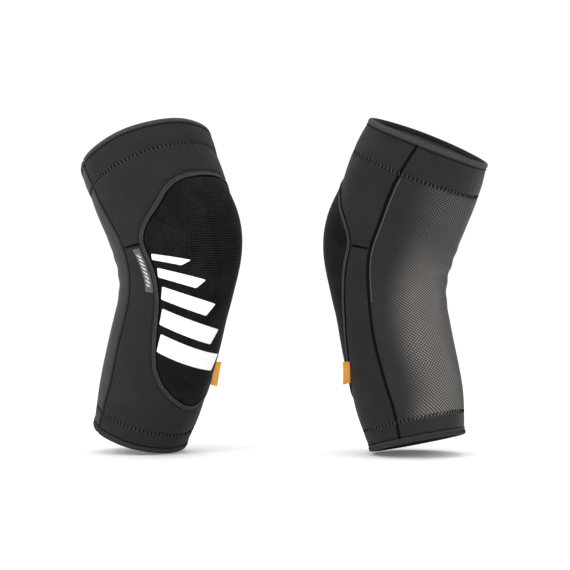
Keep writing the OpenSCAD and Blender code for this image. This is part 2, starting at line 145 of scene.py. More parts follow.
def bare(guard, u, v, out):
    """A point of the sleeve: u degrees from the front towards the wearer's left, v the height."""
    u, v, out = np.broadcast_arrays(*(np.asarray(x, float) for x in (u, v, out)))
    r, a = np.radians(u), lean(guard, v)
    flare = guard["flare"] * smooth((v - FLARE_FROM) / (1 - FLARE_FROM))
    d, w = through(SECTION_AT, HALF_DEPTH, v) + flare, through(SECTION_AT, HALF_WIDTH, v) + flare
    table = guard["centre"]
    cx, cz = (np.interp(v, np.linspace(0, 1, len(table)), table[:, k]) for k in (0, 1))
    n = np.stack([np.cos(r) / d, np.sin(r) / w])
    n = n / np.linalg.norm(n, axis=0)
    f, s = d * np.cos(r) + out * n[0], w * np.sin(r) + out * n[1]
    most, towards, start, all_round = guard["rise"]
    rise = ((1 + np.cos(np.radians(u - towards))) / 2) ** 1.5 * (1 - all_round) + all_round
    rise = most * rise * smooth((v - start) / (1 - start))
    x, z = cx + f * np.cos(a) + rise * np.sin(a), cz - f * np.sin(a) + rise * np.cos(a)
    h = math.radians(guard["heading"])
    return np.stack([x * math.cos(h) - s * math.sin(h), x * math.sin(h) + s * math.cos(h), z], -1)


def cover_depth(u, v):
    """About how far inside the knee cover's edge a point is; negative outside."""
    u = np.abs(wrap(u))
    slope = (cover_half(v + 0.004) - cover_half(v - 0.004)) * metric(v) / (0.008 * LENGTH)
    side = (cover_half(v) - u) * metric(v) / np.sqrt(1 + slope**2)
    return np.minimum(side, np.minimum((COVER_AT[-1] - v), (v - COVER_AT[0])) * LENGTH)


def wrap(u):
    return (np.asarray(u, float) + 180) % 360 - 180


def bulge(u, v):
    half = cover_half(v)
    inside = smooth((half - np.abs(wrap(u))) / (half * 0.75))
    swell = COVER_SWELL * (1 - np.exp(-np.clip(cover_depth(u, v) - 1, 0, 99) / 3))
    return COVER_BULGE * through(BULGE_AT, BULGE, v) * inside + swell


def relief(guard, u, v):
    """Seam grooves, pinched cuffs and soft folds, in millimetres."""
    turn, a, up, per = np.radians(wrap(u)), np.abs(wrap(u)), np.asarray(v) * LENGTH, metric(v)
    phase = 1.7 if guard["side"] == "left" else 4.1
    r = np.zeros(np.broadcast(u, v).shape)
    # each cuff is pinched along its zigzag, with small puckers beside it
    for at, strong in ((THIGH_CUFF, 1.0), (SHIN_CUFF, 0.9)):
        d = up - at * LENGTH
        r = r - 0.95 * strong * np.exp(-(d / 2.3) ** 2)
        r = r + 0.2 * np.sin(turn * 41 + 1.5 * np.sin(turn * 5 + phase)) * np.exp(-(d / 6) ** 2)
    # the thigh cuff swells between its zigzag and its hem
    cuff = np.clip((v - THIGH_CUFF) / (1 - THIGH_CUFF), 0, 1)
    r = r + 0.55 * np.sin(math.pi * cuff)
    # a groove along each rear seam, with a soft ridge on both sides of it
    d = (a - seam_angle(v)) * per
    r = r - 0.9 * np.exp(-(d / 1.5) ** 2) + 0.25 * np.exp(-((np.abs(d) - 3.4) / 1.8) ** 2)
    # the level seam between the two panels
    beside = smooth((a - cover_half(v)) / 3) * smooth((seam_angle(v) - a) / 3)
    r = r - 0.55 * np.exp(-((up - SIDE_SEAM * LENGTH) / 1.3) ** 2) * beside
    # a groove on both sides of the knee binding
    e = cover_depth(u, v)
    r = r - 0.75 * np.exp(-((np.abs(e) - 2.9) / 0.9) ** 2)
    # creases across the back of the knee
    back = smooth((a - 110) / 35)
    crease = np.sin(up / 21.6 * 2 * math.pi + 1.3 * np.sin(2 * turn + phase) + phase)
    r = r + 0.5 * back * crease * np.exp(-((v - 0.56) / 0.13) ** 2)
    # long soft folds in the panels
    fold = (np.sin(turn * 5 + up / 21 + phase) * np.sin(up / 34 + 2 * turn)
            + 0.6 * np.sin(turn * 8 - up / 15 + 2 * phase))
    r = r + 0.3 * fold * smooth((-e - 3) / 20) * smooth((seam_angle(v) - a) / 12 + back)
    return r


def point(guard, u, v, out=0.0):
    """The finished surface in the row frame, in metres."""
    raised = out + bulge(u, v) * (cover_depth(u, v) > 0) + relief(guard, u, v)
    return (bare(guard, u, v, raised) + guard["at"]) / 1000


for guard in GUARDS:
    guard["centre"] = centreline(guard)
    low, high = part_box(guard["side"] + "_shin_hem")
    ring = np.arange(36) * 10.0
    hem = np.concatenate([bare(guard, ring, v, out)
                          for v in (HEM_EDGE, HEM) for out in (0.4, -FABRIC - 0.4)])
    middle = (np.array(low) + np.array(high)) * 500
    guard["at"] = middle - (hem.min(0) + hem.max(0)) / 2

# ---------- materials ----------


class Tree:
    """A small helper that wires one material's nodes."""

    def __init__(self, name, color, rough, **sockets):
        self.mat = bpy.data.materials.new(name)
        self.mat.use_nodes = True
        self.nodes, self.links = self.mat.node_tree.nodes, self.mat.node_tree.links
        self.bsdf = self.nodes["Principled BSDF"]
        self.bsdf.inputs["Base Color"].default_value = (*color, 1)
        self.bsdf.inputs["Roughness"].default_value = rough
        for key, value in sockets.items():
            self.bsdf.inputs[key.replace("_", " ")].default_value = value
        uv = self.nodes.new("ShaderNodeUVMap")
        uv.uv_map = "mm"
        apart = self.nodes.new("ShaderNodeSeparateXYZ")
        self.links.new(uv.outputs[0], apart.inputs[0])
        self.uv, self.x, self.y = uv.outputs[0], apart.outputs[0], apart.outputs[1]

    def put(self, socket, value):
        if isinstance(value, bpy.types.NodeSocket):
            self.links.new(value, socket)
        else:
            socket.default_value = value

    def math(self, operation, *values):
        n = self.nodes.new("ShaderNodeMath")
        n.operation = operation
        for socket, value in zip(n.inputs, values):
            self.put(socket, value)
        return n.outputs[0]

    def add(self, *values):
        total = values[0]
        for value in values[1:]:
            total = self.math("ADD", total, value)
        return total

    def times(self, a, b):
        return self.math("MULTIPLY", a, b)

    def wave(self, along, pitch, shift=0.0):
        """From -1 to 1, once every pitch millimetres."""
        return self.math("SINE", self.math("MULTIPLY_ADD", along, 2 * math.pi / pitch, shift))

    def ramp(self, value, low, high, to_low=0.0, to_high=1.0):
        n = self.nodes.new("ShaderNodeMapRange")
        n.interpolation_type = "SMOOTHSTEP"
        for socket, v in zip(n.inputs, (value, low, high, to_low, to_high)):
            self.put(socket, v)
        return n.outputs[0]

    def noise(self, size, detail=2.0, stretch=(1, 1)):
        """Noise from 0 to 1 with lumps of about size millimetres."""
        m = self.nodes.new("ShaderNodeMapping")
        m.inputs["Scale"].default_value = (stretch[0] / size, stretch[1] / size, 1)
        self.links.new(self.uv, m.inputs["Vector"])
        n = self.nodes.new("ShaderNodeTexNoise")
        n.inputs["Scale"].default_value = 1
        n.inputs["Detail"].default_value = detail
        self.links.new(m.outputs[0], n.inputs["Vector"])
        return n.outputs["Fac"]

    def mix(self, share, a, b):
        n = self.nodes.new("ShaderNodeMix")
        n.data_type = "RGBA"
        self.put(n.inputs[0], share)
        for socket, value in ((n.inputs[6], a), (n.inputs[7], b)):
            self.put(socket, (*value, 1) if isinstance(value, tuple) else value)
        return n.outputs[2]

    def color(self, value):
        self.links.new(value, self.bsdf.inputs["Base Color"])

    def rough(self, value):
        self.links.new(value, self.bsdf.inputs["Roughness"])

    def bump(self, height, depth, strength=1.0):
        """Bump from a height of about 0 to 1, depth in millimetres."""
        n = self.nodes.new("ShaderNodeBump")
        n.inputs["Distance"].default_value = depth / 1000
        n.inputs["Strength"].default_value = strength
        self.links.new(height, n.inputs["Height"])
        self.links.new(n.outputs[0], self.bsdf.inputs["Normal"])


def panel_fabric():
    t = Tree("panel_fabric", (0.02, 0.02, 0.021), 0.85, Sheen_Weight=0.06, Sheen_Roughness=0.4,
             Specular_IOR_Level=0.07)
    twill = t.wave(t.add(t.x, t.times(t.y, 0.6)), 0.9)
    knit = t.times(twill, t.wave(t.y, 0.7))
    fuzz = t.noise(0.5, 3)
    cloud = t.noise(28, 3)
    share = t.add(t.times(fuzz, 0.55), t.times(cloud, 0.35), t.times(knit, 0.06))
    t.color(t.mix(t.ramp(share, 0.2, 0.75), (0.0115, 0.0113, 0.0116), (0.0265, 0.026, 0.0268)))
    t.rough(t.ramp(cloud, 0.2, 0.8, 0.74, 0.9))
    t.bump(t.add(t.times(knit, 0.3), t.times(fuzz, 0.5)), 0.16, 0.7)
    return t.mat


def mesh_fabric():
    t = Tree("mesh_fabric", (0.03, 0.03, 0.032), 0.6, Sheen_Weight=0.04, Sheen_Roughness=0.4,
             Specular_IOR_Level=0.15)
    # the light dots in the weave are painted glints; their bump and roughness are the mesh's own texture
    cell = t.times(t.wave(t.x, 3.3), t.wave(t.y, 2.9))
    dot = t.ramp(cell, 0.0, 0.55)
    # painted highlight: the glints are strongest in a soft strip about 20 mm from the mesh's middle towards
    # the tag side, weaker towards the top
    along = t.math("ABSOLUTE", t.math("ADD", t.x, 20))
    middle = t.times(t.ramp(along, 6, 42, 1.0, 0.07), t.ramp(t.y, 130, 215, 1.0, 0.34))
    # where the mesh is doubled in the cuffs the painted glints nearly vanish
    single = t.times(t.ramp(t.y, 17.5, 20.5), t.ramp(t.y, 247.5, 250.5, 1.0, 0.0))
    uneven = t.ramp(t.noise(34, 2), 0.25, 0.75, 0.75, 1.1)
    # the painted glints are warm in the middle of the highlight strip and bluish towards its sides
    light = t.mix(t.ramp(along, 20, 52), (0.23, 0.213, 0.197), (0.10, 0.112, 0.13))
    share = t.times(t.times(dot, uneven), t.times(middle, t.add(t.times(single, 0.94), 0.06)))
    # a faint painted glow also lies over the highlight strip, between the glints
    share = t.add(share, t.times(t.times(middle, single), 0.14))
    cloud = t.mix(t.noise(30, 2), (0.008, 0.008, 0.009), (0.015, 0.015, 0.0165))
    t.color(t.mix(share, cloud, light))
    t.rough(t.ramp(dot, 0, 1, 0.62, 0.42))
    fine = t.wave(t.add(t.x, t.y), 1.0)
    t.bump(t.add(t.times(dot, -0.8), t.times(fine, 0.12)), 0.35, 0.8)
    return t.mat


def cover_fabric():
    t = Tree("cover_fabric", (0.009, 0.009, 0.009), 0.7, Sheen_Weight=0.03, Sheen_Roughness=0.35,
             Specular_IOR_Level=0.04)
    rib = t.wave(t.y, 1.45)
    broken = t.wave(t.x, 1.9, 1.0)
    fuzz = t.noise(0.8, 3, (0.45, 1.6))
    cloud = t.noise(16, 3)
    share = t.add(t.times(rib, 0.1), t.times(broken, 0.05), t.times(fuzz, 0.65), t.times(cloud, 0.3))
    t.color(t.mix(t.ramp(share, 0.3, 0.75), (0.0012, 0.0012, 0.0013), (0.0175, 0.0172, 0.0176)))
    t.rough(t.ramp(fuzz, 0.2, 0.8, 0.6, 0.85))
    t.bump(t.add(t.times(rib, 0.3), t.times(t.times(broken, rib), 0.15), t.times(fuzz, 0.4)), 0.16, 0.7)
    return t.mat


def woven(name, dark, light, pitch, rough=0.75, sheen=0.06):
    """A plain woven band."""
    t = Tree(name, light, rough, Sheen_Weight=sheen, Sheen_Roughness=0.45, Specular_IOR_Level=0.14)
    weave = t.times(t.wave(t.x, pitch), t.wave(t.y, pitch * 0.8))
    fuzz = t.noise(0.6, 3)
    share = t.add(t.times(weave, 0.3), t.times(fuzz, 0.7), t.times(t.noise(12, 2), 0.25))
    t.color(t.mix(t.ramp(share, 0.2, 0.85), dark, light))
    t.bump(t.add(t.times(weave, 0.5), t.times(fuzz, 0.3)), 0.2, 0.9)
    return t.mat


def thread(name, dark, light):
    t = Tree(name, light, 0.85, Sheen_Weight=0.0, Specular_IOR_Level=0.03)
    twist = t.wave(t.add(t.x, t.times(t.y, 0.6)), 0.55)
    t.color(t.mix(t.ramp(t.add(t.times(twist, 0.3), t.noise(2.0, 2)), 0.2, 0.8), dark, light))
    t.bump(twist, 0.06, 0.8)
    return t.mat


def elastic_band():
    t = Tree("elastic_band", (0.06, 0.062, 0.068), 0.7, Sheen_Weight=0.06, Specular_IOR_Level=0.2)
    rib = t.wave(t.add(t.x, t.times(t.y, 0.5)), 1.6)
    fuzz = t.noise(0.7, 3)
    share = t.ramp(t.add(t.times(rib, 0.4), fuzz), 0.2, 0.95)
    t.color(t.mix(share, (0.02, 0.0205, 0.023), (0.13, 0.135, 0.148)))
    t.bump(t.add(t.times(rib, 0.5), t.times(fuzz, 0.3)), 0.4, 0.9)
    return t.mat


def silicone():
    t = Tree("grip_silicone", (0.2, 0.2, 0.205), 0.32, Specular_IOR_Level=0.5)
    t.bsdf.inputs["Subsurface Weight"].default_value = 0.15
    t.bsdf.inputs["Subsurface Scale"].default_value = 0.002
    cloud = t.noise(5, 3)
    t.color(t.mix(cloud, (0.16, 0.16, 0.165), (0.27, 0.27, 0.275)))
    t.rough(t.ramp(cloud, 0.3, 0.7, 0.25, 0.42))
    t.bump(t.noise(1.4, 2), 0.1, 0.5)
    return t.mat


def print_film():
    t = Tree("print_white", (0.86, 0.86, 0.86), 0.5, Specular_IOR_Level=0.4)
    rib = t.wave(t.y, 1.45)
    fuzz = t.noise(0.7, 3, (0.5, 1.4))
    share = t.ramp(t.add(t.times(rib, 0.25), fuzz), 0.1, 0.7)
    t.color(t.mix(share, (0.72, 0.72, 0.725), (0.92, 0.92, 0.925)))
    t.rough(t.ramp(t.noise(10, 2), 0.3, 0.7, 0.42, 0.6))
    t.bump(t.add(t.times(rib, 0.4), t.times(fuzz, 0.5)), 0.12, 0.6)
    return t.mat


def foam():
    t = Tree("pad_foam", (0.62, 0.19, 0.03), 0.6, Specular_IOR_Level=0.4)
    skin = t.noise(1.2, 4)
    t.color(t.mix(t.ramp(skin, 0.3, 0.7), (0.5, 0.14, 0.02), (0.7, 0.24, 0.04)))
    t.bump(skin, 0.25, 0.7)
    return t.mat


def label_weave():
    t = Tree("label_fabric", (0.1, 0.102, 0.11), 0.5, Sheen_Weight=0.08, Specular_IOR_Level=0.3)
    weave = t.times(t.wave(t.x, 0.5), t.wave(t.y, 0.6))
    slant = t.wave(t.add(t.y, t.times(t.x, 0.7)), 3.4)
    block = t.times(t.ramp(slant, 0.0, 0.35), t.ramp(t.math("ABSOLUTE", t.x), 1.6, 1.9, 1.0, 0.0))
    block = t.times(block, t.ramp(t.math("ABSOLUTE", t.y), 13.0, 13.4, 1.0, 0.0))
    share = t.ramp(t.add(t.noise(0.7, 2), t.times(weave, 0.2)), 0.2, 0.8)
    ground = t.mix(share, (0.045, 0.046, 0.05), (0.1, 0.102, 0.11))
    t.color(t.mix(block, ground, (0.62, 0.62, 0.63)))
    t.bump(t.add(weave, t.times(block, 0.8)), 0.1, 0.8)
    return t.mat


def tag_weave():
    t = Tree("tag_fabric", (0.9, 0.3, 0.04), 0.5, Sheen_Weight=0.05, Specular_IOR_Level=0.2)
    weave = t.times(t.wave(t.x, 0.6), t.wave(t.y, 0.6))
    line = t.times(t.ramp(t.wave(t.y, 1.5), 0.1, 0.5), t.ramp(t.math("ABSOLUTE", t.x), 1.0, 1.2, 1.0, 0.0))
    line = t.times(line, t.ramp(t.math("ABSOLUTE", t.y), 6.0, 6.3, 1.0, 0.0))
    share = t.ramp(t.add(t.noise(0.8, 2), t.times(weave, 0.25)), 0.2, 0.8)
    ground = t.mix(share, (0.95, 0.33, 0.035), (1.0, 0.52, 0.09))
    t.color(t.mix(t.times(line, 0.55), ground, (1.0, 0.66, 0.3)))
    t.bump(weave, 0.1, 0.8)
    return t.mat


MATERIALS = {
    "panel_fabric": panel_fabric(),
    "mesh_fabric": mesh_fabric(),
    "cover_fabric": cover_fabric(),
    "binding_fabric": woven("binding_fabric", (0.014, 0.0138, 0.0142), (0.042, 0.0415, 0.043), 0.9),
    "hem_fabric": woven("hem_fabric", (0.014, 0.014, 0.015), (0.05, 0.05, 0.053), 0.8),
    "lining_fabric": woven("lining_fabric", (0.012, 0.012, 0.013), (0.03, 0.03, 0.033), 1.1, 0.8, 0.05),
    # the near-black thread colours are the stitching's own dark colour, darkened further as painted shade of
    # the grooves that stitches and seams sink into
    "thread": thread("thread", (0.0015, 0.0015, 0.0016), (0.006, 0.006, 0.0062)),
    "seam_thread": thread("seam_thread", (0.0012, 0.0012, 0.0013), (0.004, 0.004, 0.0042)),
    "elastic_band": elastic_band(),
    "grip_silicone": silicone(),
    "print_white": print_film(),
    "pad_foam": foam(),
    "label_fabric": label_weave(),
    "tag_fabric": tag_weave(),
}
SOFT = thread("soft_thread", (0.009, 0.009, 0.0095), (0.02, 0.02, 0.021))
# a pale thread colour that stands for painted glints: highlights on some stitches and along a seam's folded
# edge
GLINT = thread("painted_glint_thread", (0.05, 0.052, 0.056), (0.16, 0.165, 0.175))

# ---------- building pieces ----------


def piece(name, co, faces, uvs, slot, material=None):
    """A closed mesh from corner points and a uv in millimetres for each face corner."""
    mesh = bpy.data.meshes.new(name)
    mesh.from_pydata(np.asarray(co).reshape(-1, 3).tolist(), [], [list(map(int, f)) for f in faces])
    layer = mesh.uv_layers.new(name="mm")
    layer.data.foreach_set("uv", np.concatenate([np.asarray(x, float).ravel() for x in uvs]))
    bm = bmesh.new()
    bm.from_mesh(mesh)
    bmesh.ops.recalc_face_normals(bm, faces=bm.faces)
    bm.to_mesh(mesh)
    bm.free()
    mesh.shade_smooth()
    mesh.set_sharp_from_angle(angle=math.radians(50))
    o = bpy.data.objects.new(name, mesh)
    bpy.context.scene.collection.objects.link(o)
    mesh.materials.append(material or MATERIALS[slot])
    return o


def grid_faces(rows, cols, loop):
    i, j = np.meshgrid(np.arange(rows - 1), np.arange(cols if loop else cols - 1), indexing="ij")
    k = (j + 1) % cols
    quads = np.stack([i * cols + j, i * cols + k, (i + 1) * cols + k, (i + 1) * cols + j], -1)
    corner = np.stack([np.stack([i, j], -1), np.stack([i, j + 1], -1),
                       np.stack([i + 1, j + 1], -1), np.stack([i + 1, j], -1)], -2)
    return quads.reshape(-1, 4), corner.reshape(-1, 4, 2)


def shell(name, outer, inner, uv, slot, loop=False):
    """A sheet with two faces and a rim. outer and inner are rows x columns of points; uv has one
    more column than they have when the columns close in a loop."""
    rows, cols = outer.shape[:2]
    n = rows * cols
    quads, corner = grid_faces(rows, cols, loop)
    flat = uv[corner[..., 0], corner[..., 1]]
    faces, uvs = [*quads, *(quads[:, ::-1] + n)], [*flat, *flat[:, ::-1]]
    edges = [((i * cols + j), (i * cols + (j + 1) % cols), (i, j), (i, j + 1))
             for i in (0, rows - 1) for j in range(cols if loop else cols - 1)]
    if not loop:
        edges += [(i * cols + j, (i + 1) * cols + j, (i, j), (i + 1, j))
                  for j in (0, cols - 1) for i in range(rows - 1)]
    for a, b, p, q in edges:
        faces.append((a, b, b + n, a + n))
        uvs.append([uv[p], uv[q], uv[q], uv[p]])
    return piece(name, np.concatenate([outer.reshape(-1, 3), inner.reshape(-1, 3)]), faces, uvs, slot)


def cloth(name, guard, u, v, thick, slot):
    """A sheet of cloth over the points (u, v) of the sleeve."""
    outer = point(guard, u, v, 0)
    inner = point(guard, u, v, -thick)
    # a pattern is measured from the middle of its own piece
    middle = 180 if slot == "mesh_fabric" else 0
    uv = np.stack([(u - middle) * metric(v), v * LENGTH], -1)
    return shell(name, outer, inner, uv, slot)


def across(path, closed):
    """At each point of a path of (u, v), the way to its right, as (degrees, share) for a millimetre."""
    if closed:
        d = np.roll(path, -1, 0) - np.roll(path, 1, 0)
        d[:, 0] = wrap(d[:, 0])
    else:
        d = np.gradient(path, axis=0)
    per = metric(path[:, 1])
    run = np.stack([d[:, 0] * per, d[:, 1] * LENGTH], 1)
    run /= np.linalg.norm(run, axis=1)[:, None]
    return np.stack([run[:, 1] / per, -run[:, 0] / LENGTH], 1)


def closed_up(path):
    """The path with its first point again at the end, a turn further on if it goes all the way round."""
    turns = round((path[-1, 0] - path[0, 0]) / 360)
    return np.concatenate([path, path[:1] + [360 * turns, 0]])


def lengths(path, closed=False):
    p = closed_up(path) if closed else path
    d = np.diff(p, axis=0)
    return np.concatenate([[0], np.cumsum(np.hypot(d[:, 0] * metric(p[:-1, 1]), d[:, 1] * LENGTH))])


def distances(points):
    """How far along a line of points each one is."""
    return np.concatenate([[0], np.cumsum(np.linalg.norm(np.diff(points, axis=0), axis=1))])


def band(name, guard, path, profile, slot, closed=False, material=None):
    """A strip swept along a path; its profile is a closed loop of (across, out)."""
    side = across(path, closed)
    profile = np.array(profile, float)
    at = path[:, None] + profile[None, :, :1] * side[:, None]
    co = point(guard, at[..., 0], at[..., 1], profile[None, :, 1])
    rows, cols = co.shape[:2]
    run = lengths(path, closed)
    rim = distances(np.vstack([profile, profile[:1]]))
    quads, corner = grid_faces(rows + closed, cols, True)
    uv = np.stack([run[np.minimum(corner[..., 0], len(run) - 1)], rim[corner[..., 1]]], -1)
    faces, uvs = [*(quads % (rows * cols))], [*uv]
    if not closed:
        for i in (0, rows - 1):
            faces.append(np.arange(cols) + i * cols)
            uvs.append(np.stack([np.full(cols, run[i]) + profile[:, 1], profile[:, 0]], 1))
    return piece(name, co, faces, uvs, slot, material)


def stitches(name, guard, starts, ends, out, radius, slot, lift=0.25, material=None):
    """Separate short threads from each start to its end, both lists of (u, v)."""
    starts, ends = np.array(starts, float), np.array(ends, float)
    rings, sides = 6, 6
    t = np.linspace(0, 1, rings)[None, :, None]
    at = starts[:, None] + (ends - starts)[:, None] * t
    arch = out - radius * 0.9 + (lift + radius) * np.sin(math.pi * np.clip(t[..., 0], 0.02, 0.98)) ** 0.6
    mid = point(guard, at[..., 0], at[..., 1], arch)
    normal = point(guard, at[..., 0], at[..., 1], arch + 1) - mid
    normal /= np.linalg.norm(normal, axis=-1)[..., None]
    along = np.gradient(mid, axis=1)
    along /= np.linalg.norm(along, axis=-1)[..., None]
    beside = np.cross(along, normal)
    normal = np.cross(beside, along)
    size = (radius / 1000 * np.array([0.55, 0.95, 1, 1, 0.95, 0.55]))[None, :, None, None]
    angle = np.arange(sides) * 2 * math.pi / sides
    cosine, sine = np.cos(angle)[:, None], np.sin(angle)[:, None]
    co = mid[:, :, None] + size * (cosine * normal[:, :, None] + sine * beside[:, :, None])
    quads, corner = grid_faces(rings, sides, True)
    uv = np.stack([corner[..., 0] * 0.6, corner[..., 1] * radius], -1)
    faces, uvs = [], []
    for k in range(len(starts)):
        base = k * rings * sides
        faces += [*(quads + base), np.arange(sides) + base, np.arange(sides) + base + (rings - 1) * sides]
        uvs += [*uv, np.zeros((sides, 2)), np.zeros((sides, 2))]
    return piece(name, co, faces, uvs, slot, material)


def walk(path, long, space):
    """Starts and ends of stitches of a length, a space apart, along a closed path of (u, v)."""
    run = lengths(path, True)
    p = closed_up(path)
    count = max(1, int(run[-1] // (long + space)))
    pitch = run[-1] / count
    a = np.arange(count) * pitch + space / 2
    at = [np.stack([np.interp(s, run, p[:, k]) for k in (0, 1)], 1) for s in (a, a + long)]
    return at[0], at[1]


def ring_path(v, count=360):
    """Once round the sleeve at height v."""
    return np.stack([np.arange(count) * 360 / count, np.full(count, v)], 1)


def line(a, b, count):
    return np.stack([np.linspace(a[k], b[k], count) for k in (0, 1)], 1)


def outline(count=420):
    """The knee cover's edge as a smooth closed path, from its foot up the wearer's left side."""
    half = cover_half(np.array(COVER_SIDE))
    right = np.stack([half, COVER_SIDE], 1)
    p = np.concatenate([[[0, COVER_AT[0]]], right, [[0, COVER_AT[-1]]], (right * [-1, 1])[::-1]])
    run = lengths(p, True)
    loop = np.concatenate([p, p[:1]])
    n = 2400
    s = np.arange(n) * run[-1] / n
    dense = np.stack([np.interp(s, run, loop[:, k]) for k in (0, 1)], 1)
    # the corners are softened over about 3 mm
    soften = 3.0
    reach = int(3 * soften * n / run[-1])
    k = np.arange(-reach, reach + 1)
    w = np.exp(-((k * run[-1] / n / soften) ** 2) / 2)
    w /= w.sum()
    soft = sum(w[i] * np.roll(dense, k[i], 0) for i in range(len(k)))
    run = lengths(soft, True)
    loop = np.concatenate([soft, soft[:1]])
    s = np.arange(count) * run[-1] / count
    return np.stack([np.interp(s, run, loop[:, k]) for k in (0, 1)], 1)


def offset(path, margin):
    """A closed path moved to its right by a margin in millimetres."""
    return path + margin * across(path, True)


def resample(path, count):
    run = lengths(path)
    s = np.linspace(0, run[-1], count)
    return np.stack([np.interp(s, run, path[:, k]) for k in (0, 1)], 1)


EDGE = outline()
eased = 0.5 - 0.5 * np.cos(np.linspace(0, math.pi, 64))


def between(first, second, share=eased):
    return first[None] + (second - first)[None] * share[:, None, None]


def part_of_edge(margin, keep_high, at, counts):
    """The cover's edge above or below the level seams, split at the middle, as (u, v)."""
    p = offset(EDGE, margin)
    half = len(p) // 2
    up = p[: half + 1]
    chosen = up[up[:, 1] > at] if keep_high else up[up[:, 1] < at][::-1]
    first = [np.interp(at, up[:, 1], up[:, 0]), at]
    last = [0, p[half, 1] if keep_high else p[0, 1]]
    run = resample(np.vstack([first, chosen[chosen[:, 0] > 0.2], last]), sum(counts) + 1)
    return np.vstack([run, (run * [-1, 1])[::-1][1:]])


def outer_edge(low, high, margin, counts):
    """The panels' outer edge: up or down a rear seam and along the hem to the middle."""
    v = np.linspace(low, high, counts[0] + 1)
    side = np.stack([seam_angle(v) - margin / metric(v), v], 1)
    along = line(side[-1], (0, high), counts[1] + 1)[1:]
    run = np.vstack([side, along])
    return np.vstack([run, (run * [-1, 1])[::-1][1:]])


made = {}


def keep(guard, name, o):
    """The piece takes the place of the CAD node of that name."""
    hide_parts(guard["side"] + "_" + name)
    made[guard["side"] + "_" + name] = o


# the sections of the strips, as (across, out) in millimetres
BINDING = [(-2.5, -1.1), (-2.45, -0.1), (-2.15, 0.65), (-1.5, 1.0), (-0.6, 0.9), (0, 0.78),
           (0.6, 0.9), (1.5, 1.0), (2.15, 0.65), (2.45, -0.1), (2.5, -1.1)]
GROOVE = [(-0.5, 0.2), (-0.45, 0.75), (0, 0.95), (0.45, 0.75), (0.5, 0.2)]
HEM_FOLD = [(0, -FABRIC - 0.1), (0.5, -FABRIC - 0.45), (3.6, -FABRIC - 0.5), (4.6, -FABRIC - 0.2),
            (4.97, -0.6), (4.75, 0.15), (4.1, 0.5), (2.2, 0.58), (0.8, 0.42), (0.25, 0.1), (0, -0.4)]
REAR_STRIP = [(-1.4, -0.4), (-1.3, 0.05), (-1.0, 0.25), (-0.6, 0.3), (-0.3, 0.1), (0, 0.05),
              (0.3, 0.1), (0.6, 0.3), (1.0, 0.25), (1.3, 0.05), (1.4, -0.4)]
REAR_LINE = [(-0.35, 0.1), (-0.3, 0.4), (0, 0.55), (0.3, 0.4), (0.35, 0.1)]
SIDE_STRIP = [(-1.1, -0.4), (-1.0, 0.15), (-0.5, 0.3), (0, 0.15), (0.5, 0.3), (1.0, 0.15), (1.1, -0.4)]


def build(guard):
    side = guard["side"] + "_"
    for name, high, at, end, counts in (
            ("upper_panel", True, SIDE_SEAM + SIDE_GAP, PANEL_TOP, (44, 60)),
            ("lower_panel", False, SIDE_SEAM - SIDE_GAP, PANEL_FOOT, (80, 40))):
        inner = part_of_edge(COVER_MARGIN, high, at, counts)
        p = between(inner, outer_edge(at, end, SEAM_MARGIN, counts))
        keep(guard, name, cloth(side + name + "_cloth", guard, p[..., 0], p[..., 1], FABRIC, "panel_fabric"))

    rows, cols = 210, 90
    v = np.linspace(PANEL_FOOT, PANEL_TOP, rows)[:, None] * np.ones((1, cols))
    closer = 0.5 - 0.5 * np.cos(np.linspace(0, math.pi, cols))
    share = (0.5 * closer + 0.5 * np.linspace(0, 1, cols))[None]
    start = seam_angle(v) + SEAM_MARGIN / metric(v)
    u = start + (360 - 2 * start) * share
    keep(guard, "rear_mesh", cloth(side + "rear_mesh_cloth", guard, u, v, 1.0, "mesh_fabric"))

    # the knee cover: rings from its edge in to a line up its middle
    first = offset(EDGE, -COVER_MARGIN)
    spine = np.stack([np.zeros(len(first)), np.clip(first[:, 1], *SPINE)], 1)
    p = between(first, spine, np.linspace(0, 1, 52) ** 1.35)
    keep(guard, "knee_cover", cover(side + "knee_cover_cloth", guard, p))

    strip = band(side + "knee_binding_band", guard, EDGE, BINDING, "binding_fabric", closed=True)
    keep(guard, "knee_binding", strip)
    # two near-black strips along the binding, near its rims, are painted shade of the grooves there
    for number, at in enumerate((-2.2, 1.9)):
        name = f"{side}knee_binding_groove_{number}"
        made[name] = band(name, guard, offset(EDGE, at), GROOVE, "thread", closed=True)
    # the topstitch rows in the binding's middle are pale, as painted glints
    rows = [walk(offset(EDGE, at), 2.1, 0.8) for at in (-1.35, 1.35)]
    starts, ends = (np.vstack([row[k] for row in rows]) for k in (0, 1))
    row = stitches(side + "knee_topstitch", guard, starts, ends, 0.98, 0.14, "thread", 0.08, GLINT)
    keep(guard, "knee_stitch", row)

    keep(guard, "impact_pad", pad(side + "impact_pad_foam", guard))
    keep(guard, "pad_lining", lining(side + "pad_lining_cloth", guard))
    keep(guard, "front_print", bars(side + "front_print_film", guard))
    opening(guard, "thigh", THIGH_CUFF, 1 - HEM, 1 - HEM_EDGE, 1)
    opening(guard, "shin", SHIN_CUFF, HEM, HEM_EDGE, -1)
    seams(guard, "label", -1)
    seams(guard, "tag", 1)
    keep(guard, "label", label(side + "woven_label", guard))
    keep(guard, "tag", tag(side + "loop_tag", guard))


